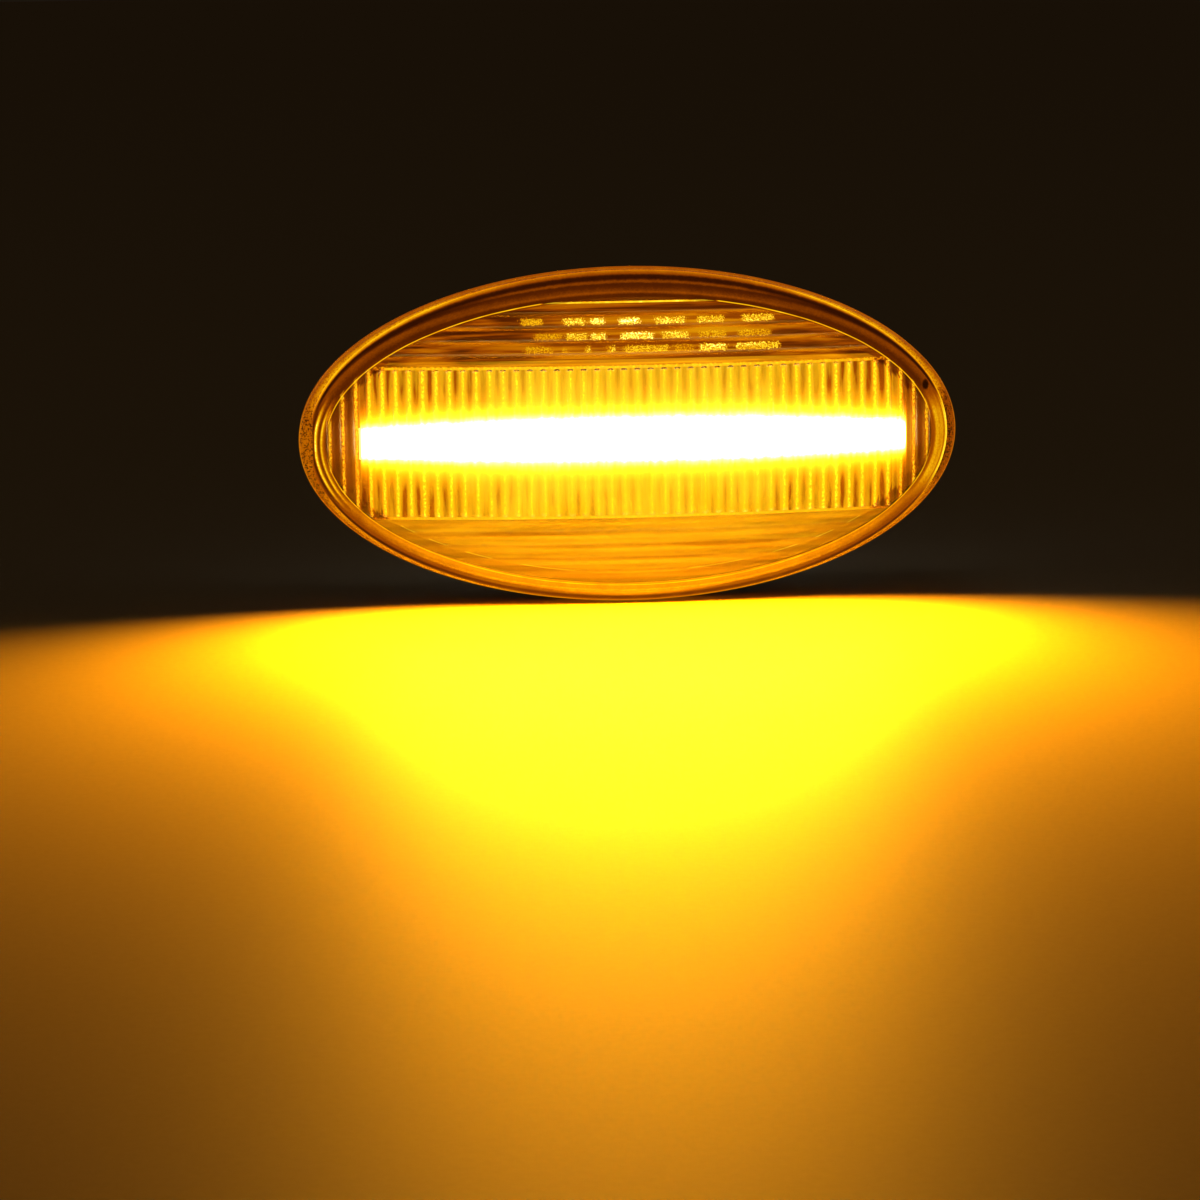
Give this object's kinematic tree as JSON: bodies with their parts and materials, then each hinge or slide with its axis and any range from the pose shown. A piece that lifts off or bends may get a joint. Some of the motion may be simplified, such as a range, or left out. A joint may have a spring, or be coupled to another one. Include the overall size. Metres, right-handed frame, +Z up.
{
  "type": "side marker turn signal",
  "caption": "Oval side marker turn signal for a vehicle's wing: a domed, fluted clear lens over a lit light bar, in a rear case with a gasket, a spring clip and a plug socket.",
  "frame": {"origin": "centre of the plane where the gasket meets the panel", "axes": "+X along the oval's long side, +Z up, the lens faces -Y and the socket points to +Y"},
  "size_m": [0.1, 0.0365, 0.051],
  "materials": {
    "lens": "clear polycarbonate, polished outside and fluted inside",
    "housing": "black moulded plastic, fine grain",
    "gasket": "closed-cell foam rubber",
    "spring_clip": "bright spring steel",
    "reflector": "metallised plastic",
    "light_bar": "frosted diffuser, lit",
    "circuit_board": "white solder mask",
    "screw": "zinc plated",
    "terminal": "tin plated",
    "led": "white case, amber when lit",
    "resistor": "black film on a ceramic chip",
    "chip": "black moulding compound",
    "capacitor": "bare can"
  },
  "bodies": {
    "root": {"lens": "lens", "housing": "housing", "gasket": "gasket", "spring_clip": "spring_clip", "reflector": "reflector", "light_bar": "light_bar", "circuit_board": "circuit_board", "board_screw_1": "screw", "board_screw_2": "screw", "terminal_blade_1": "terminal", "terminal_blade_2": "terminal", "led_01": "led", "led_02": "led", "led_03": "led", "led_04": "led", "led_05": "led", "led_06": "led", "led_07": "led", "led_08": "led", "led_09": "led", "led_10": "led", "led_11": "led", "led_12": "led", "led_13": "led", "led_14": "led", "led_15": "led", "led_16": "led", "led_17": "led", "led_18": "led", "resistor_1": "resistor", "resistor_2": "resistor", "resistor_3": "resistor", "resistor_4": "resistor", "resistor_5": "resistor", "resistor_6": "resistor", "transistor_1": "chip", "transistor_2": "chip", "transistor_3": "chip", "transistor_4": "chip", "transistor_5": "chip", "transistor_6": "chip", "sequencer_chip": "chip", "diode": "chip", "capacitor": "capacitor"}
  },
  "joints": []
}
